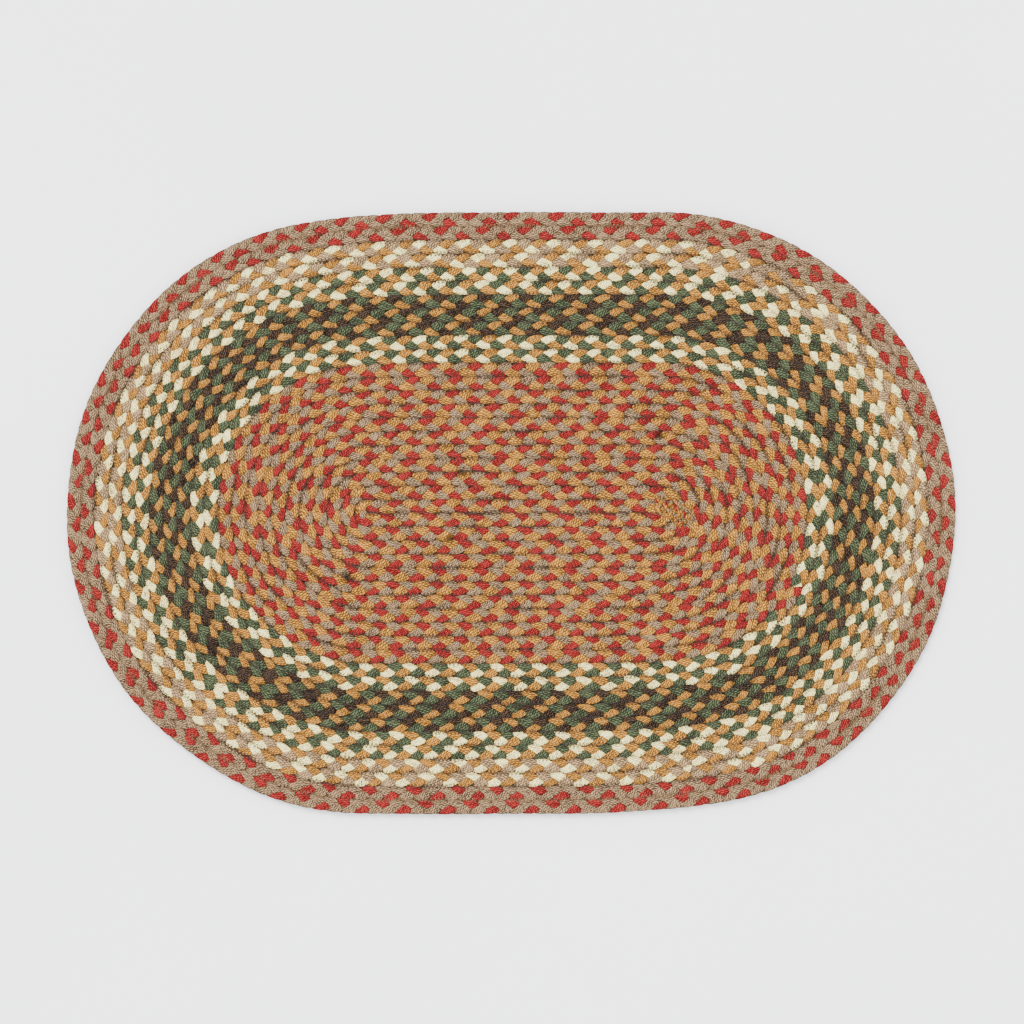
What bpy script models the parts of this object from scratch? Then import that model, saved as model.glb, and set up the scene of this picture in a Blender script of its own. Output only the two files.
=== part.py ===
"""Oval braided rug, lying flat: one solid with its rows of braid raised on the upper face.

The rug is twenty-two rounds of flat braid, laid side by side round a straight centre
seam and sewn edge to edge. Units are metres, +Z is up, the rug lies on z = 0, and its
length runs along X.
"""
import math

import bmesh
import bpy

# Driving dimensions
RUG_LENGTH = 0.762
RUG_WIDTH = 0.516
BRAID_THICKNESS = 0.008
ROUNDS = 22
RIGHT_CENTRE_X = 0.128

# One row of braid across its width: a groove, a rounded back, and the next groove
GROOVE_DEPTH = 0.0021
BACK_FROM_GROOVE = 0.32
WELD_DISTANCE = 0.00001

# The outer edge of the last round: how far in from the rim, and how high
EDGE_SECTION = (
    {"inset": 0.0026, "height": 0.0},
    {"inset": 0.0007, "height": 0.0014},
    {"inset": 0.0, "height": 0.0036},
    {"inset": 0.0008, "height": 0.0061},
)

# Where the hand-laid rim draws in: distance along the rim, anticlockwise from the right
# end of the upper straight, how deep, and how far it spreads
DRAWN_IN = (
    {"along": 0.285, "depth": 0.0040, "spread": 0.060},
    {"along": 0.900, "depth": 0.0022, "spread": 0.070},
    {"along": 1.345, "depth": 0.0050, "spread": 0.062},
)

# Steps round each end and along each straight
END_STEPS = 24
STRAIGHT_STEPS = 5

# Natural jute with its dyed strands, seen from across a room
YARN_COLOUR = (0.36, 0.22, 0.11, 1.0)
YARN_ROUGHNESS = 0.92

RIM_RADIUS = RUG_WIDTH / 2
ROW_WIDTH = RIM_RADIUS / ROUNDS
LEFT_CENTRE_X = RIM_RADIUS - RUG_LENGTH / 2
RIGHT_END_SQUEEZE = (RUG_LENGTH / 2 - RIGHT_CENTRE_X) / RIM_RADIUS
STRAIGHT_LENGTH = RIGHT_CENTRE_X - LEFT_CENTRE_X
END_LENGTH = math.pi * RIM_RADIUS
RIM_LENGTH = 2 * (STRAIGHT_LENGTH + END_LENGTH)


def clear_scene():
    """Remove what the scene holds."""
    for item in list(bpy.data.objects):
        bpy.data.objects.remove(item, do_unlink=True)


def yarn_material():
    """Matt jute yarn."""
    material = bpy.data.materials.new("jute_yarn")
    material.use_nodes = True
    surface = material.node_tree.nodes["Principled BSDF"]
    surface.inputs["Base Color"].default_value = YARN_COLOUR
    surface.inputs["Roughness"].default_value = YARN_ROUGHNESS
    surface.inputs["Metallic"].default_value = 0.0
    return material


def drawn_in_at(along):
    """Share of the radius that is lost where the rim draws in."""
    loss = 0.0
    for dip in DRAWN_IN:
        apart = abs(along - dip["along"]) % RIM_LENGTH
        apart = min(apart, RIM_LENGTH - apart)
        loss += dip["depth"] / RIM_RADIUS * math.exp(-((apart / dip["spread"]) ** 2))
    return loss


def rim_stations():
    """Foot on the centre seam, outward direction and place along the rim, once round."""
    stations = []
    for step in range(STRAIGHT_STEPS):
        run = STRAIGHT_LENGTH * step / STRAIGHT_STEPS
        stations.append((RIGHT_CENTRE_X - run, 0.0, 1.0, run))
    for step in range(END_STEPS):
        turn = math.pi * step / END_STEPS
        along = STRAIGHT_LENGTH + END_LENGTH * step / END_STEPS
        stations.append((LEFT_CENTRE_X, -math.sin(turn), math.cos(turn), along))
    for step in range(STRAIGHT_STEPS):
        run = STRAIGHT_LENGTH * step / STRAIGHT_STEPS
        along = STRAIGHT_LENGTH + END_LENGTH + run
        stations.append((LEFT_CENTRE_X + run, 0.0, -1.0, along))
    for step in range(END_STEPS):
        turn = math.pi * step / END_STEPS
        along = RIM_LENGTH - END_LENGTH * (1 - step / END_STEPS)
        sideways = RIGHT_END_SQUEEZE * math.sin(turn)
        stations.append((RIGHT_CENTRE_X, sideways, -math.cos(turn), along))
    return stations


def add_loop(mesh, radius, height):
    """One closed line round the rug, at a given radius from the centre seam."""
    points = []
    for foot_x, out_x, out_y, along in rim_stations():
        reach = radius * (1 - drawn_in_at(along))
        points.append(mesh.verts.new((foot_x + reach * out_x, reach * out_y, height)))
    return points


def loft(mesh, outer, inner):
    """A strip of faces between two closed lines with the same stations."""
    next_outer = outer[1:] + outer[:1]
    next_inner = inner[1:] + inner[:1]
    for corners in zip(outer, next_outer, next_inner, inner):
        mesh.faces.new(corners)


def row_lines():
    """Radius and height of every line over the rows, from the rim to the centre seam."""
    back = BRAID_THICKNESS
    shoulder = ROW_WIDTH * BACK_FROM_GROOVE
    lines = []
    for row in range(ROUNDS, 0, -1):
        outer = row * ROW_WIDTH
        if row < ROUNDS:
            lines.append((outer, back - GROOVE_DEPTH))
        lines.append((outer - shoulder, back))
        lines.append((outer - ROW_WIDTH + shoulder, back))
    lines.append((0.0, back - GROOVE_DEPTH))
    return lines


def rug_object(collection):
    """Loft the closed lines from the underside, over the rim and the rows, to the seam."""
    sections = [(RIM_RADIUS - line["inset"], line["height"]) for line in EDGE_SECTION]
    sections += row_lines()
    mesh = bmesh.new()
    loops = [add_loop(mesh, radius, height) for radius, height in sections]
    for outer, inner in zip(loops, loops[1:]):
        loft(mesh, outer, inner)
    bmesh.ops.poke(mesh, faces=[mesh.faces.new(reversed(loops[0]))])
    bmesh.ops.remove_doubles(mesh, verts=mesh.verts, dist=WELD_DISTANCE)
    bmesh.ops.recalc_face_normals(mesh, faces=mesh.faces)
    data = bpy.data.meshes.new("braided_rug")
    mesh.to_mesh(data)
    mesh.free()
    data.materials.append(yarn_material())
    data.shade_smooth()
    rug = bpy.data.objects.new("braided_rug", data)
    collection.objects.link(rug)
    return rug


def main():
    """Model the rug in a collection of its own."""
    clear_scene()
    collection = bpy.data.collections.new("Braided rug")
    bpy.context.scene.collection.children.link(collection)
    rug_object(collection)


main()
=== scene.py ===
# %% [markdown]
# # An oval braided rug
#
# This lesson dresses the flat, ribbed solid of a small jute rug with the real thing: almost
# thirty metres of three-strand braid, laid in oval rounds and sewn edge to edge. Each round
# is three strands that cross over and under one another, so the pattern of coloured
# lozenges isn't painted on. It comes from which strand is on top. All sizes are in metres.

# %% Load the shared frame
import math

import bpy
import numpy as np
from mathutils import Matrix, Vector
from mathutils.bvhtree import BVHTree


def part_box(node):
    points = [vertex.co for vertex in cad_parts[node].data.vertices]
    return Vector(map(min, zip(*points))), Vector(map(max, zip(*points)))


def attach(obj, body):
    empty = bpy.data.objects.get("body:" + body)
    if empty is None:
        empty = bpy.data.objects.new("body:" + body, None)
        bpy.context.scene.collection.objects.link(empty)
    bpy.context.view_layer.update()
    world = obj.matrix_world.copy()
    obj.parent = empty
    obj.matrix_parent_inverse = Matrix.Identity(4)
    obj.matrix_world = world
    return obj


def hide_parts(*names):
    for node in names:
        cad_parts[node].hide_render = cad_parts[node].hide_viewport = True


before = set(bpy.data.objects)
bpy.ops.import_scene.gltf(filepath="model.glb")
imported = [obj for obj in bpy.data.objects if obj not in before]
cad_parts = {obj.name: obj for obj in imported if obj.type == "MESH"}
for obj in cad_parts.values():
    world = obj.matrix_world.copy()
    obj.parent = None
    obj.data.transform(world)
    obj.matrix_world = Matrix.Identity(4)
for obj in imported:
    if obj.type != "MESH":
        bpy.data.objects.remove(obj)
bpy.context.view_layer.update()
RUG = "braided_rug"
rug_low, rug_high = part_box(RUG)
print("rug solid, mm:", [round(1000 * side, 1) for side in rug_high - rug_low])

# %% [markdown]
# ## The lay of the rounds
#
# The rug grows outwards from a straight seam. Every round keeps the same distance from the
# one before it, so a round is two straights and two round ends. Its size comes from the
# frame: half the width divided by the number of rounds is the width of one row of braid.
# The right-hand end is laid a little tighter than the left, and the rim draws in by a few
# millimetres in places, as hand-fed braid does under a sewing machine.

# %% Sizes of the rounds
ROUNDS = 22
RIM_RADIUS = (rug_high.y - rug_low.y) / 2
HALF_LENGTH = (rug_high.x - rug_low.x) / 2
ROW_WIDTH = RIM_RADIUS / ROUNDS
THICKNESS = rug_high.z - rug_low.z
MID_HEIGHT = rug_low.z + THICKNESS / 2

# Centres of the two round ends: the left one is a half circle, the right one a little flatter
RIGHT_CENTRE_X = 0.128
LEFT_CENTRE_X = RIM_RADIUS - HALF_LENGTH
RIGHT_END_SQUEEZE = (HALF_LENGTH - RIGHT_CENTRE_X) / RIM_RADIUS

# Lengths along the rim, with both ends taken as half circles
STRAIGHT_LENGTH = RIGHT_CENTRE_X - LEFT_CENTRE_X
END_LENGTH = math.pi * RIM_RADIUS
RIM_LENGTH = 2 * (STRAIGHT_LENGTH + END_LENGTH)

# Where the rim draws in: how far along it, how deep, and how far the dip spreads
DRAWN_IN = (
    {"along": 0.285, "depth": 0.0040, "spread": 0.060},
    {"along": 0.900, "depth": 0.0022, "spread": 0.070},
    {"along": 1.345, "depth": 0.0050, "spread": 0.062},
)
print("row of braid, mm:", round(1000 * ROW_WIDTH, 2))

# %% [markdown]
# ## Lines round the rug
#
# Everything that is sewn into the rug follows a closed line: a round of braid, or the seam
# between two rounds. An offset curve could give these lines, but its points bunch up in the
# bends. So each line is worked out from the seam in the middle, with a foot on the seam and
# a reach outwards, and is then cut into even parts. It starts at the top of the right-hand
# end and runs anticlockwise.


# %% Stations round the rim
def drawn_in_at(along):
    """Share of the radius that is lost at these places along the rim."""
    loss = np.zeros_like(along)
    for dip in DRAWN_IN:
        apart = np.abs(along - dip["along"]) % RIM_LENGTH
        apart = np.minimum(apart, RIM_LENGTH - apart)
        loss += dip["depth"] / RIM_RADIUS * np.exp(-((apart / dip["spread"]) ** 2))
    return loss


def rim_stations(steps):
    """Foot on the seam, outward direction and place along the rim, steps to a stretch."""
    run = np.linspace(0.0, 1.0, steps, endpoint=False)
    turn = math.pi * run
    still = np.zeros(steps)
    foot = np.concatenate([
        RIGHT_CENTRE_X - STRAIGHT_LENGTH * run,
        still + LEFT_CENTRE_X,
        LEFT_CENTRE_X + STRAIGHT_LENGTH * run,
        still + RIGHT_CENTRE_X,
    ])
    out_x = np.concatenate([still, -np.sin(turn), still, RIGHT_END_SQUEEZE * np.sin(turn)])
    out_y = np.concatenate([still + 1, np.cos(turn), still - 1, -np.cos(turn)])
    along = np.concatenate([
        STRAIGHT_LENGTH * run,
        STRAIGHT_LENGTH + END_LENGTH * run,
        STRAIGHT_LENGTH + END_LENGTH + STRAIGHT_LENGTH * run,
        RIM_LENGTH - END_LENGTH * (1 - run),
    ])
    return foot, out_x, out_y, along


# %% Even parts of a line
LINE_STEPS = 400


def unit(vectors):
    """The same directions, each with a length of one."""
    return vectors / np.linalg.norm(vectors, axis=1, keepdims=True)


def lengths_along(line):
    """How far each point of a line lies from its start, along the line."""
    gaps = np.linalg.norm(np.diff(line, axis=0), axis=1)
    return np.concatenate([[0.0], np.cumsum(gaps)])


def places_at(line, lengths, wanted):
    """The places that lie at the wanted lengths along a flat line."""
    return np.stack([np.interp(wanted, lengths, line[:, axis]) for axis in (0, 1)], axis=1)


def closed_line(radius, pitch, parts):
    """One closed line in a whole number of pitches, each cut into so many parts.

    Gives its points, their outward normals, its length and how many pitches it has.
    """
    foot, out_x, out_y, along = rim_stations(LINE_STEPS)
    reach = radius * (1 - drawn_in_at(along))
    line = np.stack([foot + reach * out_x, reach * out_y], axis=1)
    line = np.vstack([line, line[:1]])
    lengths = lengths_along(line)
    length = lengths[-1]
    pitches = round(length / pitch)
    count = pitches * parts
    points = places_at(line, lengths, np.arange(count) * length / count)
    ahead = unit(np.roll(points, -1, axis=0) - np.roll(points, 1, axis=0))
    normals = np.stack([ahead[:, 1], -ahead[:, 0]], axis=1)
    return points, normals, length, pitches


# %% [markdown]
# ## The bands
#
# The maker changes a strand's colour by splicing in another yarn, so the colours change
# from round to round and give bands. They are listed from the rim to the middle, with the
# length of one repeat of the braid, and with the strands in the order in which their
# lozenges follow one another. Some strands are a little fuller than others, so each colour
# comes with its share of the usual width.

# %% Bands of colour
BANDS = (
    {"name": "rim", "rounds": 2, "repeat": 0.0361,
     "strands": (("red", 0.97), ("natural", 1.02), ("natural", 1.02))},
    {"name": "taupe", "rounds": 2, "repeat": 0.0380,
     "strands": (("cream", 0.95), ("ochre", 0.88), ("taupe", 1.16))},
    {"name": "outer_green", "rounds": 2, "repeat": 0.0358,
     "strands": (("cream", 0.94), ("ochre", 1.06), ("green", 1.02))},
    {"name": "brown", "rounds": 3, "repeat": 0.0381,
     "strands": (("brown", 1.00), ("ochre", 0.84), ("green", 1.15))},
    {"name": "inner_green", "rounds": 2, "repeat": 0.0369,
     "strands": (("cream", 0.91), ("ochre", 0.98), ("green", 1.12))},
    {"name": "field", "rounds": 11, "repeat": 0.0378,
     "strands": (("red", 0.87), ("natural", 0.96), ("ochre", 1.16))},
)


def band_of(number):
    """The band that holds a round, counted from the middle outwards."""
    outermost = ROUNDS
    for band in BANDS:
        outermost -= band["rounds"]
        if number >= outermost:
            return band
    return BANDS[-1]


print("bands:", ", ".join(band["name"] for band in BANDS))

# %% [markdown]
# ## Splices and pairs
#
# Here and there a yarn ran out and another took its place, so a few lozenges have a colour
# that isn't their band's. And where two neighbouring rounds stand half a repeat apart, their
# lozenges meet in pairs and make larger diamonds. Both are listed by round, counted from the
# middle outwards, and by the angle above the length line, seen from the right-hand centre.

# %% Splices and pairs
# The round, the angle, how many degrees the splice covers, and which colours another replaces
SPLICES = (
    {"round": 11, "angle": -35, "covers": 13, "swap": {"cream": "red", "green": "natural"}},
    {"round": 19, "angle": -80, "covers": 7, "swap": {"cream": "natural"}},
    {"round": 19, "angle": 64, "covers": 12, "swap": {"cream": "natural", "taupe": "natural"}},
    {"round": 18, "angle": 69, "covers": 7, "swap": {"cream": "taupe"}},
)

# Where a round stands in its repeat, from 0 to 1, on a line at 57 degrees. The rounds that
# aren't listed begin anywhere.
PAIRING = {
    21: 0.88, 20: 0.38, 19: 0.44, 18: 0.94, 17: 0.44, 16: 0.94,
    15: 0.62, 14: 0.12, 13: 0.62, 12: 0.52, 11: 0.74,
}

# A round starts at 90 degrees, which is this much further on than that line
PAIRING_TURN = math.radians(33)

# %% [markdown]
# ## One strand of the braid
#
# Seen from the end, a strand of a flat braid runs in a figure of eight: it goes from side
# to side once while it goes up and down twice. So its sideways place is close to a sine,
# and its height is a sine of twice the angle. The three strands are a third of a repeat
# apart. A strand is a soft bundle of plied yarns. It lies wide and flat where it shows,
# rolls upright where it turns at the row's edge, and presses flat against the next row.
# A curve with a bevel could follow the same path, but it keeps one outline all the way. So
# the strand is made ring by ring, and each ring has an outline of its own.

# %% Sizes of a strand
STRANDS = 3
SAMPLES_PER_REPEAT = 16

# Half the width and height of a strand: flat in a lozenge, and upright at the row's edge
FLAT_HALF_WIDTH, FLAT_HALF_HEIGHT = 0.0040, 0.0021
EDGE_HALF_WIDTH, EDGE_HALF_HEIGHT = 0.0036, 0.0036
EDGE_POWER = 3.0

# How far its middle line runs to each side, and up and down
SIDE_TO_SIDE = 0.0049
UP_AND_DOWN = THICKNESS / 2 - FLAT_HALF_HEIGHT

# 0 would make the sideways run a plain sine, and 1 straight runs with sharp turns
STRAIGHTNESS = 0.97

# The lower this power, the longer the strand stays up or down before it dives
DIVE_AT_EDGE, DIVE_IN_MIDDLE = 0.65, 0.40

# Where a strand starts to be pressed, and the wall that stops it: the next row, and the
# rug's own faces. A row may bulge a little way into its neighbour's dips.
ROW_FREE, ROW_WALL = 0.0048, 0.54 * ROW_WIDTH
FACE_FREE, FACE_WALL = 0.0032, THICKNESS / 2

# %% Outline of a strand
# A broad flat top with firm shoulders and a plain belly, as shares of half its width and height
PROFILE = np.array([
    (1.0, 0.0), (0.92, 0.82), (0.56, 1.0), (-0.56, 1.0),
    (-0.92, 0.82), (-1.0, 0.0), (-0.62, -0.95), (0.62, -0.95),
])
PROFILE_STEPS = np.linalg.norm(
    (np.roll(PROFILE, -1, axis=0) - PROFILE) * (FLAT_HALF_WIDTH, FLAT_HALF_HEIGHT), axis=1
)
PROFILE_SHARES = np.concatenate([[0.0], np.cumsum(PROFILE_STEPS)]) / PROFILE_STEPS.sum()
print("strand, mm round:", round(1000 * PROFILE_STEPS.sum(), 1))

# %% [markdown]
# ## Uneven and soft
#
# Nothing in hand-fed braid is quite regular, and nothing in it is hard. A noise texture with
# a Displace modifier could make it uneven, but the wander has to close on itself as the
# round does. So a few long waves are added up, each a whole number of times round. Yarn that
# meets a wall slows down before it and never passes it, which gives soft flats and no crease.

# %% Uneven and soft
UNEVEN = 0.05
SWING_WAVE, FULLNESS_WAVE, ANGLE_WAVE = 0.05, 0.03, 0.07
LAY_WAVE, LAY_UNEVEN = 0.15, 0.0002
REPEAT_WAVE, REPEAT_UNEVEN = 0.16, 0.18
WAVES = 5

dice = np.random.default_rng(41)


def slow_wander(count, length, wave, size):
    """A smooth closed wander along a round: waves about this long, about this high."""
    turns = np.arange(count) / count * 2 * math.pi
    first = max(1, round(length / wave))
    total = np.zeros(count)
    for harmonic in range(first, first + WAVES):
        total += np.sin(harmonic * turns + dice.uniform(0, 2 * math.pi))
    return size * total / math.sqrt(WAVES / 2)


def pressed(value, free, wall):
    """Soft yarn against a wall: it keeps its place up to free, and never passes wall."""
    room = wall - free
    beyond = np.maximum(np.abs(value) - free, 0)
    return np.sign(value) * (np.minimum(np.abs(value), free) + room * np.tanh(beyond / room))


# %% [markdown]
# ## The run of a strand
#
# A strand is worked out on a straight row first: how far along, how far out, how high. Then
# the row is bent round the rug. A Curve modifier bends a mesh as well, but it stretches
# what lies on the outside of a bend, and these rows have to keep their width.


# %% Straight row, then bent
def cross_directions(ahead):
    """The level and the rising direction across a line, from the way it runs."""
    ahead = unit(ahead)
    wide = unit(np.cross(ahead, (0, 0, 1)))
    return wide, np.cross(wide, ahead)


def strand_path(theta, length):
    """How far out and how high the middle of a strand runs."""
    swing = np.arcsin(STRAIGHTNESS * np.sin(theta)) / math.asin(STRAIGHTNESS)
    sideways = SIDE_TO_SIDE * (1 + slow_wander(len(theta), length, SWING_WAVE, UNEVEN)) * swing
    twice = np.sin(2 * theta)
    dive = DIVE_AT_EDGE + (DIVE_IN_MIDDLE - DIVE_AT_EDGE) * np.cos(theta) ** 2
    return sideways, -UP_AND_DOWN * np.sign(twice) * np.abs(twice) ** dive


def bent(points, normals, along, out, height):
    """Bend a straight row: each corner finds its place between two points of its round."""
    count = len(points)
    before = np.floor(along).astype(int)
    share = (along - before)[..., None]
    place = points[before % count] * (1 - share) + points[(before + 1) % count] * share
    outward = normals[before % count] * (1 - share) + normals[(before + 1) % count] * share
    return np.concatenate([place + outward * out[..., None], height[..., None]], axis=-1)


# %% Rings of a strand
def strand_rings(points, normals, length, theta, usual_width):
    """Ring by ring, the corners of one strand round its whole closed round."""
    count = len(points)
    step = length / count
    sideways, lift = strand_path(theta, length)
    wide, tall = cross_directions(np.stack([
        np.full(count, 2 * step),
        np.roll(sideways, -1) - np.roll(sideways, 1),
        np.roll(lift, -1) - np.roll(lift, 1),
    ], axis=1))
    at_edge = np.abs(np.sin(theta)) ** EDGE_POWER
    fullness = usual_width * (1 + slow_wander(count, length, FULLNESS_WAVE, UNEVEN))
    half_width = fullness * (FLAT_HALF_WIDTH + (EDGE_HALF_WIDTH - FLAT_HALF_WIDTH) * at_edge)
    half_height = FLAT_HALF_HEIGHT + (EDGE_HALF_HEIGHT - FLAT_HALF_HEIGHT) * at_edge
    corner = (
        wide[:, None] * (half_width[:, None] * PROFILE[:, 0])[..., None]
        + tall[:, None] * (half_height[:, None] * PROFILE[:, 1])[..., None]
    )
    along = np.arange(count)[:, None] + corner[..., 0] / step
    out = pressed(sideways[:, None] + corner[..., 1], ROW_FREE, ROW_WALL)
    height = MID_HEIGHT + pressed(lift[:, None] + corner[..., 2], FACE_FREE, FACE_WALL)
    return bent(points, normals, along, out, height)


# %% [markdown]
# ## Faces and map
#
# Each ring is joined to the next by four-sided faces. Their map says how far along the
# strand a corner lies and how far round it, so that a yarn drawn on the map runs along the
# strand, over and under the others. An automatic unwrap couldn't know which way the yarn runs.


# %% Faces and map
def ring_quads(rings, count, sides):
    """Corner numbers of the faces that join the given rings to the next ones."""
    side = np.arange(sides)
    beside = (side + 1) % sides
    ring = rings[:, None] * sides
    following = (rings[:, None] + 1) % count * sides
    return np.stack([ring + side, ring + beside, following + beside, following + side], axis=-1)


def ring_map(rings, step, start, shares):
    """Map of the same faces: metres along the strand, and share of the way round it."""
    near = np.repeat((start + rings * step)[:, None], len(shares) - 1, axis=1)
    low = np.repeat(shares[None, :-1], len(rings), axis=0)
    high = np.repeat(shares[None, 1:], len(rings), axis=0)
    far = near + step
    corners = [(near, low), (near, high), (far, high), (far, low)]
    return np.stack([np.stack(corner, axis=-1) for corner in corners], axis=-2)


def run_of(corners, rings, step, start, shares):
    """A run of yarn: its corners, and the faces and map of the given rings."""
    count, sides = corners.shape[:2]
    return (
        corners.reshape(-1, 3),
        ring_quads(rings, count, sides).reshape(-1, 4),
        ring_map(rings, step, start, shares).reshape(-1, 2),
    )


def joined(runs):
    """Points, faces and map of several runs, in one numbering."""
    points, quads, maps = zip(*runs)
    starts = np.cumsum([0] + [len(some) for some in points])
    quads = [some + start for some, start in zip(quads, starts)]
    return np.vstack(points), np.vstack(quads), np.vstack(maps)


# %% [markdown]
# ## Room for the tail
#
# The braid starts at the right-hand end of the seam, and its tail is sewn down on top of the
# first rounds there. The strands under the tail are pressed down, so that it lies level with
# the rest. A Boolean would cut them off instead. Real yarn gives way.

# %% Room for the tail
TAIL_ROUTE = np.array([
    (0.1225, 0.0112), (0.1287, 0.0098), (0.1353, 0.0072), (0.1412, 0.0044),
    (0.1467, 0.0010), (0.1512, -0.0028), (0.1548, -0.0070),
])

# The tail's yarns lie in a flat fan: how far its middle is to the right of the route, half
# its width, and how deep it presses what is under it
FAN_MIDDLE = 0.0020
FAN_HALF_WIDTH = 0.0088
FAN_SINK = 0.0024
FAN_EDGE_POWER = 6
FAN_STEPS = 24
FAN_REACH = 0.02


def along_route(steps):
    """Evenly spaced points along the tail's route, its left-hand normals and its length."""
    lengths = lengths_along(TAIL_ROUTE)
    points = places_at(TAIL_ROUTE, lengths, np.linspace(0, lengths[-1], steps))
    ahead = unit(np.gradient(points, axis=0))
    return points, np.stack([-ahead[:, 1], ahead[:, 0]], axis=1), lengths[-1]


def make_room(corners):
    """Press the upper side of the strands down where the tail lies on them."""
    points, left, _ = along_route(FAN_STEPS)
    middle = points - left * FAN_MIDDLE
    low_x, low_y = middle.min(axis=0) - FAN_REACH
    high_x, high_y = middle.max(axis=0) + FAN_REACH
    x, y = corners[..., 0], corners[..., 1]
    close = (x > low_x) & (x < high_x) & (y > low_y) & (y < high_y)
    near = corners[close]
    if len(near):
        apart = np.linalg.norm(near[:, None, :2] - middle[None], axis=2).min(axis=1)
        share = np.exp(-((apart / FAN_HALF_WIDTH) ** FAN_EDGE_POWER))
        upper = np.clip((near[:, 2] - MID_HEIGHT) / (THICKNESS / 2), 0, 1)
        near[:, 2] -= FAN_SINK * share * upper
        corners[close] = near
    return corners


# %% [markdown]
# ## All the rounds
#
# Every round gets a whole number of repeats, so that it closes on itself. One strand could be
# modelled and copied along each round, but then every lozenge would be the same. So each is
# made on its own. The faces are sorted by band and yarn colour as they are made, and each of
# those becomes one piece.

# %% Lay the rounds
yarn_runs = {}


def colours_along(number, usual_colour, points):
    """The yarn colour of a strand at each of its rings, with the splices put in."""
    colours = np.full(len(points), usual_colour, dtype=object)
    angles = np.degrees(np.arctan2(points[:, 1], points[:, 0] - RIGHT_CENTRE_X))
    for splice in SPLICES:
        if splice["round"] == number:
            near = np.abs(angles - splice["angle"]) < splice["covers"] / 2
            for old, new in splice["swap"].items():
                colours[near & (colours == old)] = new
    return colours


def lay_round(number):
    """Make the three strands of one round. Gives the length of its braid."""
    band = band_of(number)
    radius = (number + 0.5) * ROW_WIDTH
    points, normals, length, repeats = closed_line(radius, band["repeat"], SAMPLES_PER_REPEAT)
    count = len(points)
    points = points + normals * slow_wander(count, length, LAY_WAVE, LAY_UNEVEN)[:, None]
    # The dice are thrown for a paired round too, so that a new pair changes no other round
    begin = PAIRING.get(number, dice.uniform(0, 1)) + repeats * PAIRING_TURN * radius / length
    steady = 2 * math.pi * (begin + repeats * np.arange(count) / count)
    steady += slow_wander(count, length, REPEAT_WAVE, REPEAT_UNEVEN)
    for strand, (usual_colour, usual_width) in enumerate(band["strands"]):
        behind = strand * 2 * math.pi / STRANDS
        theta = steady - behind + slow_wander(count, length, ANGLE_WAVE, UNEVEN)
        corners = make_room(strand_rings(points, normals, length, theta, usual_width))
        colours = colours_along(number, usual_colour, points)
        start = dice.uniform(0, 1)
        for colour in sorted(set(colours)):
            rings = np.flatnonzero(colours == colour)
            run = run_of(corners, rings, length / count, start, PROFILE_SHARES)
            yarn_runs.setdefault((band["name"], colour), []).append(run)
    return length


braid_length = sum(lay_round(number) for number in range(ROUNDS))
print("braid laid, m:", round(braid_length, 2))

# %% [markdown]
# ## Colours and nodes
#
# A material is a network of nodes. One function adds a node with its settings and links, and
# the others are short recipes that take several nodes. Images of yarn would need no recipes,
# but they repeat and blur up close, and nodes do neither.

# %% Colours
BRIGHTEST_FIBRE = 0.96
MIDDLE = 0.5


def linear(hex_code):
    """The shader's linear colour of an sRGB hex code."""
    channels = [int(hex_code[place:place + 2], 16) / 255 for place in (0, 2, 4)]
    bent_channels = [c / 12.92 if c <= 0.04045 else ((c + 0.055) / 1.055) ** 2.4 for c in channels]
    return (*bent_channels, 1.0)


def lighter(colour, share):
    """A linear colour made darker or paler, and never brighter than clean fibre."""
    return (*(min(channel * share, BRIGHTEST_FIBRE) for channel in colour[:3]), 1.0)


# %% Nodes
def feed(tree, node, feeds):
    """Fill a node's sockets with numbers and colours, or link them to other nodes."""
    for socket, value in feeds.items():
        if isinstance(value, bpy.types.NodeSocket):
            tree.links.new(value, node.inputs[socket])
        else:
            node.inputs[socket].default_value = value


def add_node(tree, kind, feeds=None, output=0, **settings):
    """Add a shader node with its settings and links. Gives one of its outputs."""
    node = tree.nodes.new(f"ShaderNode{kind}")
    for name, value in settings.items():
        setattr(node, name, value)
    feed(tree, node, feeds or {})
    return node.outputs[output]


def start_material(name):
    """A new material, its tree of nodes and its shader."""
    material = bpy.data.materials.new(name)
    material.use_nodes = True
    return material, material.node_tree, material.node_tree.nodes["Principled BSDF"]


# %% Recipes of several nodes
def weighted_sum(tree, start, parts):
    """A number or a socket, and several sockets added to it, each times its weight."""
    total = start
    for value, weight in parts:
        total = add_node(tree, "Math", {0: value, 1: weight, 2: total}, operation="MULTIPLY_ADD")
    return total


def blend_of(tree, parts):
    """The middle shade moved by several parts: each a socket, its weight and its own middle."""
    start = MIDDLE - sum(weight * own_middle for _, weight, own_middle in parts)
    return weighted_sum(tree, start, [(value, weight) for value, weight, _ in parts])


def hump(tree, value):
    """0 where the value is whole and 1 halfway between."""
    angle = add_node(tree, "Math", {0: value, 1: math.pi}, operation="MULTIPLY")
    wave = add_node(tree, "Math", {0: angle}, operation="SINE")
    return add_node(tree, "Math", {0: wave}, operation="ABSOLUTE")


def through(ramp, colours, places=(0.0, MIDDLE, 1.0)):
    """Give a ramp three linear colours at these places. Gives its output."""
    stops = ramp.node.color_ramp.elements
    stops.new(MIDDLE)
    for stop, colour, place in zip(stops, colours, places):
        stop.position = place
        stop.color = colour
    return ramp


def strand_places(tree):
    """Metres along the strand, share of the way round it, and place in the rug."""
    strand = add_node(tree, "UVMap", uv_map="strand")
    parts = add_node(tree, "SeparateXYZ", {0: strand}).node.outputs
    return parts["X"], parts["Y"], add_node(tree, "TexCoord", output="Object")


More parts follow.
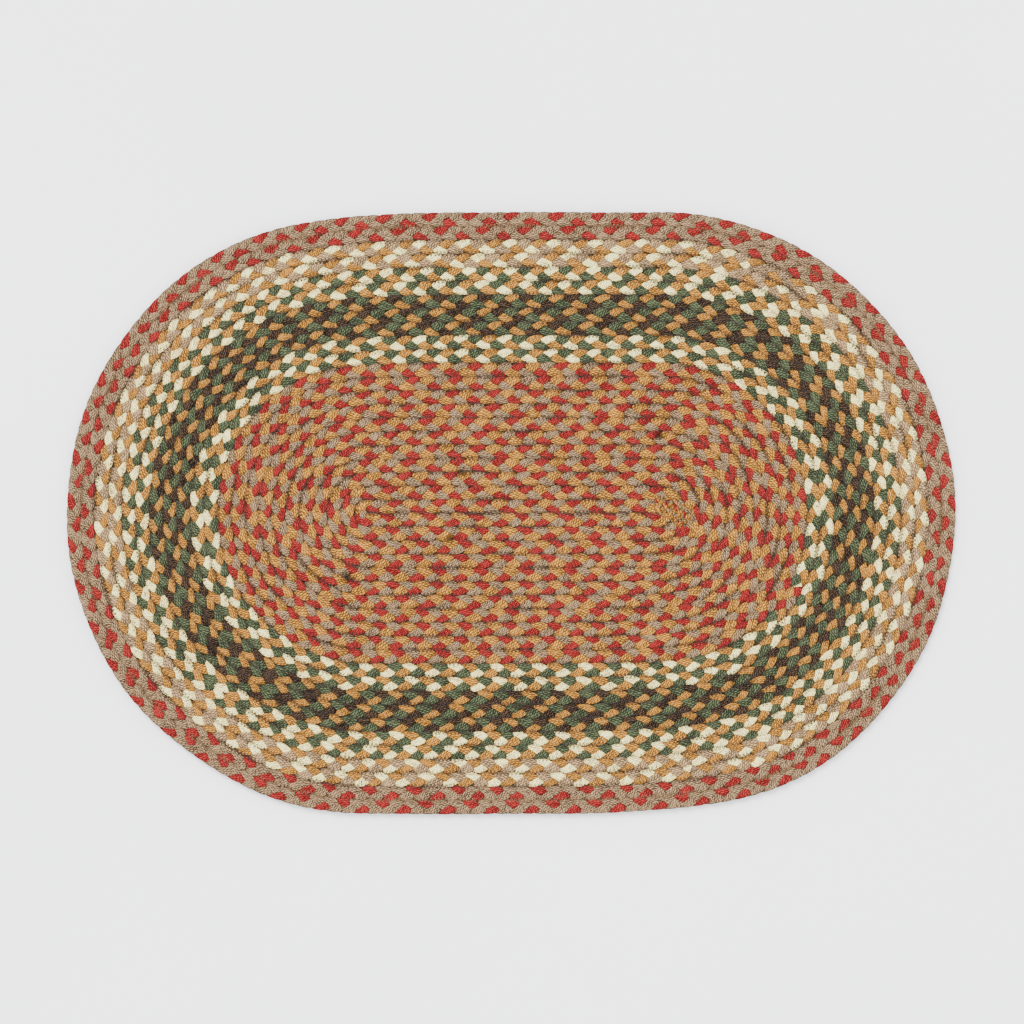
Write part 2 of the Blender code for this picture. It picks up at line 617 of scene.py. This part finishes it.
# %% [markdown]
# ## Jute yarn
#
# The strands are bundles of dyed jute yarn, spun and plied, five or so side by side across
# the top of a lozenge. Up close there is a groove between the yarns and a slanting ply in
# each, and every ply takes the dye a little darker or paler than the next. That gives the
# tweedy look. The colour is also painted darker down in each groove between yarns and
# between plies, and paler on their crowns: painted shade and painted light. Whole lengths of
# yarn are darker or paler than their neighbours, which shows as streaks, and a coarse brown
# fibre spun in here and there shows as a dark fleck, most of all in the undyed and the cream
# yarn. A few places on the field are smudged dark. Jute is dry and matt, with hardly any
# gloss and a little pale fuzz.
#
# Each colour is given by the body of the yarn, by how much darker and paler its plies and
# its painted shade and light go, and by how streaky and flecked it is. The bodies are deeper
# than they look, because the light here is bright.

# %% Yarn shades
SHADES = {
    "red": {"body": "681A17", "dark": 0.34, "pale": 2.4, "streaks": 0.3, "flecks": 0.2},
    "ochre": {"body": "7E5522", "dark": 0.33, "pale": 2.5, "streaks": 0.4, "flecks": 0.2},
    # The natural yarn gets more painted shade and light on its relief than the others
    "natural": {"body": "5E4B36", "dark": 0.26, "pale": 3.0, "streaks": 0.5, "flecks": 1.6,
                "painted_groove_shade": 1.7},
    "taupe": {"body": "745D42", "dark": 0.42, "pale": 2.4, "streaks": 0.7, "flecks": 0.4},
    "cream": {"body": "FFD280", "dark": 0.07, "pale": 1.9, "streaks": 0.6, "flecks": 2.8},
    "green": {"body": "2F3423", "dark": 0.33, "pale": 2.8, "streaks": 0.8, "flecks": 0.2},
    "brown": {"body": "1E150E", "dark": 0.24, "pale": 5.0, "streaks": 1.1, "flecks": 0.2},
}

# How much the other parts of the pattern move the shade. The first is painted shade and
# light: it darkens the colour down in each groove between yarns and between plies, and
# pales it on their crowns.
PAINTED_GROOVE_SHADE = 1.5
TINTS, FIBRES, DRIFT, SMUDGE = 0.6, 0.7, 0.3, 1.6

# %% Scale of the yarn
YARNS_ROUND = 11
PLY_LENGTH = 0.0020
STREAK_LENGTH = 0.009
DRIFT_SIZE = 0.030

# How far a ply slants across its yarn, in plies. And how far apart in the noise the streaks
# of neighbouring yarns are, so that they don't look alike.
PLY_SLANT = 0.8
STREAKS_APART = 3.7

# Nothing is laid quite straight: the size of the wobble, and how far it moves yarn and ply
WOBBLE_SIZE = 0.0022
YARN_WOBBLE, PLY_WOBBLE = 0.3, 0.5

# Single fibres are too fine to show, so these are coarser: a few to a ply
FIBRE_LENGTH = 0.0040
FIBRES_PER_PLY = 2.5
FIBRE_NOISE = {"Scale": 1.6, "Detail": 3.0, "Roughness": 0.65}

# A fleck starts where the fibre noise falls below the first number and is full at the second
FLECK_START, FLECK_FULL = 0.44, 0.32
USUAL_FLECK = 0.1

# Yarns are flat on top, and a ply is nearly as deep as the groove between yarns
CROWN_POWER = 0.5
PLY_DEPTH = 0.9
YARN_RELIEF = 0.0007
FIBRE_RELIEF = 0.25


# %% Plies of a yarn
def plies(tree, along, around, place):
    """Which yarn this is, which turn of its ply, and how high on the rounded ply."""
    wobble = add_node(
        tree, "TexNoise", {"Vector": place, "Scale": 1 / WOBBLE_SIZE, "Detail": 1.0}
    )
    yarn = weighted_sum(tree, 0.0, ((around, YARNS_ROUND), (wobble, YARN_WOBBLE)))
    number = add_node(tree, "Math", {0: yarn}, operation="FLOOR")
    across = add_node(tree, "Math", {0: yarn, 1: number}, operation="SUBTRACT")
    # Every yarn starts its twist somewhere else
    own_start = add_node(tree, "TexWhiteNoise", {"W": number}, noise_dimensions="1D")
    turn = weighted_sum(tree, own_start, (
        (along, 1 / PLY_LENGTH), (across, PLY_SLANT), (wobble, PLY_WOBBLE),
    ))
    # From 0 in the grooves to 1 on the crowns
    crown = add_node(tree, "Math", {0: hump(tree, yarn), 1: CROWN_POWER}, operation="POWER")
    ply = weighted_sum(tree, 1 - PLY_DEPTH, ((hump(tree, turn), PLY_DEPTH),))
    rounded = add_node(tree, "Math", {0: crown, 1: ply}, operation="MULTIPLY")
    return number, turn, rounded


def tweed(tree, along, number, turn):
    """The tint of a ply, the streak of a length of yarn, and the fibres, each from 0 to 1."""
    ply_number = add_node(tree, "Math", {0: turn}, operation="FLOOR")
    ply_place = add_node(tree, "CombineXYZ", {"X": ply_number, "Y": number})
    tint = add_node(tree, "TexWhiteNoise", {"Vector": ply_place})
    streak_place = add_node(tree, "CombineXYZ", {
        "X": add_node(tree, "Math", {0: along, 1: 1 / STREAK_LENGTH}, operation="MULTIPLY"),
        "Y": add_node(tree, "Math", {0: number, 1: STREAKS_APART}, operation="MULTIPLY"),
    })
    streak = add_node(tree, "TexNoise", {"Vector": streak_place, "Scale": 1.0, "Detail": 1.0})
    # Fibres follow the twist of the ply
    fibre_place = add_node(tree, "CombineXYZ", {
        "X": add_node(tree, "Math", {0: turn, 1: FIBRES_PER_PLY}, operation="MULTIPLY"),
        "Y": add_node(tree, "Math", {0: along, 1: 1 / FIBRE_LENGTH}, operation="MULTIPLY"),
        "Z": number,
    })
    fibre = add_node(tree, "TexNoise", {"Vector": fibre_place, **FIBRE_NOISE})
    return tint, streak, fibre


# %% Jute yarn
def yarn_material(name, body, dark, pale, streaks, flecks, painted_groove_shade=PAINTED_GROOVE_SHADE):
    """Plied jute yarn: slanting plies with painted shade and light, and a tweedy mix of shades."""
    material, tree, shader = start_material(name)
    along, around, place = strand_places(tree)
    number, turn, rounded = plies(tree, along, around, place)
    tint, streak, fibre = tweed(tree, along, number, turn)
    drift = add_node(tree, "TexNoise", {"Vector": place, "Scale": 1 / DRIFT_SIZE, "Detail": 1.0})
    fleck = add_node(
        tree, "MapRange", {"Value": fibre, "From Min": FLECK_START, "From Max": FLECK_FULL}
    )
    smudge = add_node(tree, "Attribute", output="Fac", attribute_name="smudge")
    # The rounded height paints shade and light: darker down in each groove, paler on the crowns
    shade = blend_of(tree, (
        (tint, TINTS, MIDDLE), (streak, streaks, MIDDLE), (fibre, FIBRES, MIDDLE),
        (drift, DRIFT, MIDDLE), (rounded, painted_groove_shade, MIDDLE), (fleck, -flecks, USUAL_FLECK),
        (smudge, -SMUDGE, 0.0),
    ))
    body = linear(body)
    shades = (lighter(body, dark), body, lighter(body, pale))
    relief = weighted_sum(tree, rounded, ((fibre, FIBRE_RELIEF),))
    # Dry plant fibre: very rough, next to no gloss, and a faint sheen from the fuzz
    feed(tree, shader, {
        "Base Color": through(add_node(tree, "ValToRGB", {0: shade}), shades),
        "Normal": add_node(
            tree, "Bump", {"Strength": 1.0, "Distance": YARN_RELIEF, "Height": relief}
        ),
        "Roughness": 0.92,
        "Specular IOR Level": 0.08,
        "Sheen Weight": 0.02,
        "Sheen Roughness": 0.5,
    })
    return material


YARN = {
    colour: yarn_material(f"{colour}_yarn", **shades) for colour, shades in SHADES.items()
}
print("yarns:", ", ".join(YARN))

# %% [markdown]
# ## The braided strands
#
# Each band and colour is one piece. Its mesh is filled in one go from the lists of points
# and faces, because adding some 400,000 faces one by one takes minutes. Every point also
# carries how smudged it is, for the dark smudges on the field.

# %% Smudges
# Place and radius
SMUDGES = (
    (0.1270, 0.0670, 0.0030), (-0.1399, -0.0549, 0.0034), (-0.0523, -0.0223, 0.0026),
    (-0.0429, 0.0352, 0.0028), (-0.0635, 0.0009, 0.0022), (-0.0549, -0.0240, 0.0020),
)


def smudged(points):
    """How smudged the yarn is at each point, from 0 to 1."""
    share = np.zeros(len(points))
    for x, y, radius in SMUDGES:
        apart = np.hypot(points[:, 0] - x, points[:, 1] - y)
        share = np.maximum(share, np.exp(-((apart / radius) ** 2)))
    return share


# %% Make a piece
def make_piece(name, points, quads, corner_map, material, slot):
    """A smooth-shaded mesh piece that rides on the rug and stands for its solid."""
    used, quads = np.unique(quads, return_inverse=True)
    points = points[used]
    quads = quads.reshape(-1, 4)
    mesh = bpy.data.meshes.new(name)
    mesh.vertices.add(len(points))
    mesh.vertices.foreach_set("co", points.astype(np.float32).ravel())
    mesh.loops.add(quads.size)
    mesh.loops.foreach_set("vertex_index", quads.astype(np.int32).ravel())
    mesh.polygons.add(len(quads))
    mesh.polygons.foreach_set("loop_start", np.arange(0, quads.size, 4, dtype=np.int32))
    mesh.polygons.foreach_set("use_smooth", np.ones(len(quads), dtype=bool))
    mesh.uv_layers.new(name="strand")
    mesh.uv_layers["strand"].uv.foreach_set("vector", corner_map.astype(np.float32).ravel())
    mesh.attributes.new("smudge", "FLOAT", "POINT")
    mesh.attributes["smudge"].data.foreach_set("value", smudged(points).astype(np.float32))
    mesh.update(calc_edges=True)
    mesh.materials.append(material)
    piece = bpy.data.objects.new(name, mesh)
    bpy.context.scene.collection.objects.link(piece)
    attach(piece, "root")
    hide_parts(RUG)
    print(name, "triangles:", 2 * len(quads))
    return piece


# %% Make the strands
for (band_name, colour), runs in yarn_runs.items():
    make_piece(
        f"{band_name}_{colour}_strands", *joined(runs), YARN[colour], f"{colour}_yarn"
    )

# %% [markdown]
# ## The tail
#
# The tail is a thin twist of two ochre yarns and a red one, so that the red shows as small
# spots in a line. Ochre and natural yarns fan out flat beside it, and cross over and under
# their neighbours. Every yarn dips into the braid at its ends. A Screw modifier makes a
# twist as well, but only about a straight line, and this one bends with the tail's route.

# %% Sizes of the tail
TAIL_STEPS = 64
TAIL_SIDES = 8
TAIL_YARN_RADIUS = 0.00125
TWIST_RADIUS = 0.00115
TWIST_PITCH = 0.009
TWIST = ("red", "ochre", "ochre")

# A tail yarn is as thick as three of the yarns that are drawn on a strand
TAIL_YARN_SHARE = 3 / YARNS_ROUND

# At its ends a yarn tapers over this share of its length, goes down this far, and ends with
# this share of its thickness
END_SHARE = 1 / 8
END_DIP = 0.0040
BLUNT_END = 0.1

# Loose yarns: colour, and how far to the left of the twist they lie halfway along it
LOOSE_YARNS = (
    ("natural", 0.0034), ("ochre", 0.0052), ("ochre", -0.0032), ("natural", -0.0048),
    ("ochre", -0.0064), ("ochre", -0.0080), ("ochre", -0.0094),
)
FLARE = 0.35
LOOSE_SWING = 0.0016
LOOSE_LIFT = 0.0007
LOOSE_PITCH = 0.0150


# %% A yarn of the tail
def tube_corners(line, ahead, radius, around):
    """Ring by ring, the corners of a tube along a line, at these angles round it."""
    wide, tall = cross_directions(ahead)
    rim = wide[:, None] * np.cos(around)[:, None] + tall[:, None] * np.sin(around)[:, None]
    return line[:, None] + radius * rim


def tail_yarn(offset, height):
    """One yarn that lies so far to the left of the tail's route, and so high."""
    points, left, length = along_route(TAIL_STEPS)
    run = np.linspace(0, 1, TAIL_STEPS)
    end = np.clip(np.minimum(run, 1 - run) / END_SHARE, 0, 1)
    rounded_end = np.sqrt(1 - (1 - end) ** 2)
    line = np.column_stack([
        points + left * offset[:, None],
        height - END_DIP * (1 - rounded_end),
    ])
    radius = TAIL_YARN_RADIUS * (BLUNT_END + (1 - BLUNT_END) * rounded_end)
    around = 2 * math.pi * np.arange(TAIL_SIDES) / TAIL_SIDES
    corners = tube_corners(line, np.gradient(line, axis=0), radius[:, None, None], around)
    shares = np.linspace(0, TAIL_YARN_SHARE, TAIL_SIDES + 1)
    rings = np.arange(TAIL_STEPS - 1)
    return run_of(corners, rings, length / TAIL_STEPS, dice.uniform(0, 1), shares)


# %% Twist and loose yarns
tail_runs = {}
route_length = along_route(TAIL_STEPS)[2]
turns = 2 * math.pi * np.linspace(0, route_length / TWIST_PITCH, TAIL_STEPS)
twist_height = rug_high.z - TWIST_RADIUS - TAIL_YARN_RADIUS
for strand, colour in enumerate(TWIST):
    phase = turns + 2 * math.pi * strand / len(TWIST)
    tail_runs.setdefault(colour, []).append(
        tail_yarn(TWIST_RADIUS * np.cos(phase), twist_height + TWIST_RADIUS * np.sin(phase))
    )
flare = 1 + FLARE * np.linspace(-1, 1, TAIL_STEPS)
for number, (colour, offset) in enumerate(LOOSE_YARNS):
    # Neighbours swing a third of a turn apart, so that they cross
    phase = turns * TWIST_PITCH / LOOSE_PITCH + 2 * math.pi * number / STRANDS
    height = rug_high.z - TAIL_YARN_RADIUS - LOOSE_LIFT * (1 - np.cos(2 * phase))
    tail_runs.setdefault(colour, []).append(
        tail_yarn(offset * flare + LOOSE_SWING * np.sin(phase), height)
    )
for colour, runs in tail_runs.items():
    make_piece(f"tail_{colour}", *joined(runs), YARN[colour], f"{colour}_yarn")
print("tail, mm:", round(1000 * route_length, 1))

# %% [markdown]
# ## The deep yarn
#
# Between the lozenges one looks down on yarn that lies deeper in the braid. A thin layer of
# natural yarn at half the rug's thickness stands for it, and closes every gap to the floor.
# It is a closed layer with strips across it, because one face with hundreds of corners
# shades badly.

# %% Deep yarn
DEEP_INSET = 0.003
DEEP_HALF_THICKNESS = 0.0013
DEEP_STEPS = 60

# The yarns that are drawn once round a strand cover this width of the layer
MAP_WIDTH = 0.020


def deep_layer():
    """Points and faces of a closed thin layer inside the rim, and its flat area."""
    foot, out_x, out_y, along = rim_stations(DEEP_STEPS)
    reach = (RIM_RADIUS - DEEP_INSET) * (1 - drawn_in_at(along))
    half = DEEP_STEPS // 2
    # The upper half of the outline from right to left, then the lower half back
    near = np.arange(1 - half, 3 * half)
    outline = np.concatenate([near, (6 * half - near)[::-1]]) % len(foot)
    flat = np.stack([foot + reach * out_x, reach * out_y], axis=1)[outline]
    count = len(outline)
    points = np.vstack([
        np.column_stack([flat, np.full(count, MID_HEIGHT + rise)])
        for rise in (-DEEP_HALF_THICKNESS, DEEP_HALF_THICKNESS)
    ])
    side = np.arange(len(near) - 1)
    top = np.stack([side, side + 1, count - 2 - side, count - 1 - side], axis=1) + count
    here = np.arange(count)
    ahead = (here + 1) % count
    walls = np.stack([here, ahead, ahead + count, here + count], axis=1)
    following = flat[ahead]
    area = np.sum(flat[:, 0] * following[:, 1] - flat[:, 1] * following[:, 0]) / 2
    return points, np.vstack([top, top[:, ::-1] - count, walls]), float(area)


deep_points, deep_quads, deep_area = deep_layer()
deep_map = deep_points[deep_quads][..., :2] / (1.0, MAP_WIDTH)
deep_yarn = make_piece(
    "deep_yarn", deep_points, deep_quads, deep_map, YARN["natural"], "natural_yarn"
)
print("deep yarn, square metres:", round(deep_area, 4))

# %% [markdown]
# ## The sewing thread
#
# A machine zigzag holds the rounds together. It crosses from one row to the next and back
# every three millimetres or so and is pulled down into the soft yarn, so that it shows as
# short ticks where two lozenges meet across the seam. The ticks are dark brown, and between
# the two rounds of the rim they turn from brown to tan. The thread could be laid at one
# height, but then it would float over the dips, so a ray dropped on the strands finds how
# high the yarn is under each needle hole.

# %% Sizes of the thread
STITCH_PITCH = 0.0033
STITCH_REACH = 0.0018
REACH_UNEVEN = 0.15
THREAD_RADIUS = 0.00034
THREAD_SIDES = 3
PULL_WAVE, PULL_UNEVEN = 0.10, 0.00036

# Corners of the thread in one stitch: at which twelfth of it, and on which side of the seam
STITCH_PARTS = 12
STITCH_CORNERS = ((1, 1), (5, -1), (7, -1), (11, 1))

# The seam in the middle is sewn round a narrow loop
SEAM_RADIUS = 0.0004

# The seams of each piece of thread, numbered by the round outside the seam, and its shades
BROWN_THREAD = ("1E130A", "2B1C11", "3C2A1A")
BROWN_TO_TAN_THREAD = ("2B1C11", "6E5031", "C8A26A")
THREADS = {
    "inner_thread": {"seams": range(15), "shades": BROWN_THREAD},
    "outer_thread": {"seams": range(15, 21), "shades": BROWN_THREAD},
    "rim_thread": {"seams": range(21, 22), "shades": BROWN_TO_TAN_THREAD},
}

# %% Cotton thread
THREAD_TWIST = 0.0006
THREAD_RELIEF = 0.0001
PATCH_SIZE = 0.004
PATCH_START, PATCH_SPREAD = 0.2, 0.6


def thread_material(name, shades):
    """Cotton thread, waxed: smoother than the yarn, with a fine twist and uneven colour."""
    material, tree, shader = start_material(name)
    along, around, place = strand_places(tree)
    twist = hump(tree, weighted_sum(tree, around, ((along, 1 / THREAD_TWIST),)))
    patch = add_node(tree, "TexNoise", {"Vector": place, "Scale": 1 / PATCH_SIZE, "Detail": 1.0})
    shade = weighted_sum(tree, PATCH_START, ((patch, PATCH_SPREAD),))
    colours = [linear(hex_code) for hex_code in shades]
    # Wax lays the fuzz flat, so the ticks have a soft gloss that the jute lacks
    feed(tree, shader, {
        "Base Color": through(add_node(tree, "ValToRGB", {0: shade}), colours),
        "Normal": add_node(
            tree, "Bump", {"Strength": 1.0, "Distance": THREAD_RELIEF, "Height": twist}
        ),
        "Roughness": 0.6,
    })
    return material


# %% Height of the yarn
all_runs = [run for runs in yarn_runs.values() for run in runs]
surface_points, surface_quads, _ = joined(all_runs)
surface = BVHTree.FromPolygons(surface_points.tolist(), surface_quads.tolist())


def yarn_height(x, y):
    """Height of the strands' upper side at a place, or of the deep yarn in a gap."""
    hit = surface.ray_cast(Vector((x, y, 2 * THICKNESS)), Vector((0, 0, -1)))[0]
    return max(hit.z, MID_HEIGHT) if hit else MID_HEIGHT


# %% Sew the rounds together
def zigzag(radius):
    """A run of thread that zigzags along a closed line."""
    points, normals, length, stitches = closed_line(radius, STITCH_PITCH, STITCH_PARTS)
    parts, sides = np.array(STITCH_CORNERS).T
    picked = (STITCH_PARTS * np.arange(stitches)[:, None] + parts).ravel()
    count = len(picked)
    reach = STITCH_REACH * (1 + dice.uniform(-REACH_UNEVEN, REACH_UNEVEN, count))
    flat = points[picked] + normals[picked] * (np.tile(sides, stitches) * reach)[:, None]
    pulled_down = slow_wander(count, length, PULL_WAVE, PULL_UNEVEN)
    height = np.array([yarn_height(x, y) for x, y in flat]) - pulled_down
    line = np.column_stack([flat, height])
    ahead = np.roll(line, -1, axis=0) - np.roll(line, 1, axis=0)
    around = math.pi / 2 + 2 * math.pi * np.arange(THREAD_SIDES) / THREAD_SIDES
    corners = tube_corners(line, ahead, THREAD_RADIUS, around)
    shares = np.linspace(0, 1, THREAD_SIDES + 1)
    return run_of(corners, np.arange(count), length / count, 0.0, shares)


for name, thread in THREADS.items():
    runs = [zigzag(max(seam * ROW_WIDTH, SEAM_RADIUS)) for seam in thread["seams"]]
    material = thread_material(name, thread["shades"])
    make_piece(name, *joined(runs), material, "sewing_thread")

# %% [markdown]
# ## One sheet of cloth
#
# The rug is one flat sheet. Of all the pieces, the deep yarn alone has the rug's whole area
# in one piece.

# %% [markdown]
# ## Floor, light and camera
#
# The rug lies on a plain pale floor, and the camera looks straight down on it from a good way
# off. The light is soft: a bright sky all round, and a wide sun from the upper left that
# gives the braid its shallow shadows. An area light would do too, but it fades across the
# floor, and the sun doesn't.

# %% Floor
FLOOR_SIDE = 12.0
FLOOR_MOTTLE = 0.5
FLOOR_SHADES = ("F4F4F4", "F7F7F7", "FAFAFA")
FLOOR_STOPS = (0.2, MIDDLE, 0.8)


def floor_material():
    """Matt white paint with the faintest mottling."""
    material, tree, shader = start_material("pale_floor")
    place = add_node(tree, "TexCoord", output="Object")
    cloud = add_node(tree, "TexNoise", {"Vector": place, "Scale": 1 / FLOOR_MOTTLE, "Detail": 3.0})
    colours = [linear(hex_code) for hex_code in FLOOR_SHADES]
    # Matt enough to stay an even pale ground that mirrors nothing of the rug
    feed(tree, shader, {
        "Base Color": through(add_node(tree, "ValToRGB", {0: cloud}), colours, FLOOR_STOPS),
        "Roughness": 0.85,
    })
    return material


bpy.ops.mesh.primitive_plane_add(size=FLOOR_SIDE, location=(0, 0, 0))
floor = bpy.context.object
floor.name = "floor"
floor.data.materials.append(floor_material())

# %% Light
SKY_COLOUR, SKY_STRENGTH = "F4F6FA", 2.85
SUN_STRENGTH = 4.6
SUN_WIDTH = math.radians(28)
TOWARDS_SUN = Vector((-0.28, 0.55, 1.0))

world = bpy.data.worlds.new("soft_room")
world.use_nodes = True
feed(world.node_tree, world.node_tree.nodes["Background"], {
    "Color": linear(SKY_COLOUR), "Strength": SKY_STRENGTH,
})
bpy.context.scene.world = world

sun_data = bpy.data.lights.new("window_light", "SUN")
sun_data.energy = SUN_STRENGTH
sun_data.angle = SUN_WIDTH
sun = bpy.data.objects.new("window_light", sun_data)
bpy.context.scene.collection.objects.link(sun)
sun.rotation_euler = TOWARDS_SUN.to_track_quat("Z", "Y").to_euler()

# %% Camera
CAMERA_HEIGHT = 4.0
CAMERA_REACH = 20.0
SENSOR_WIDTH = 36.0

# What the picture shows at the height of the rug's upper face: its width and its middle
VIEW_WIDTH = 0.8786
VIEW_CENTRE = (0.0009, 0.0009)

camera_data = bpy.data.cameras.new("overhead_camera")
camera_data.sensor_width = SENSOR_WIDTH
camera_data.lens = SENSOR_WIDTH * (CAMERA_HEIGHT - THICKNESS) / VIEW_WIDTH
camera_data.clip_end = CAMERA_REACH
camera = bpy.data.objects.new("overhead_camera", camera_data)
bpy.context.scene.collection.objects.link(camera)
camera.location = (*VIEW_CENTRE, CAMERA_HEIGHT)
bpy.context.scene.camera = camera
print("lens, mm:", round(camera_data.lens, 1))
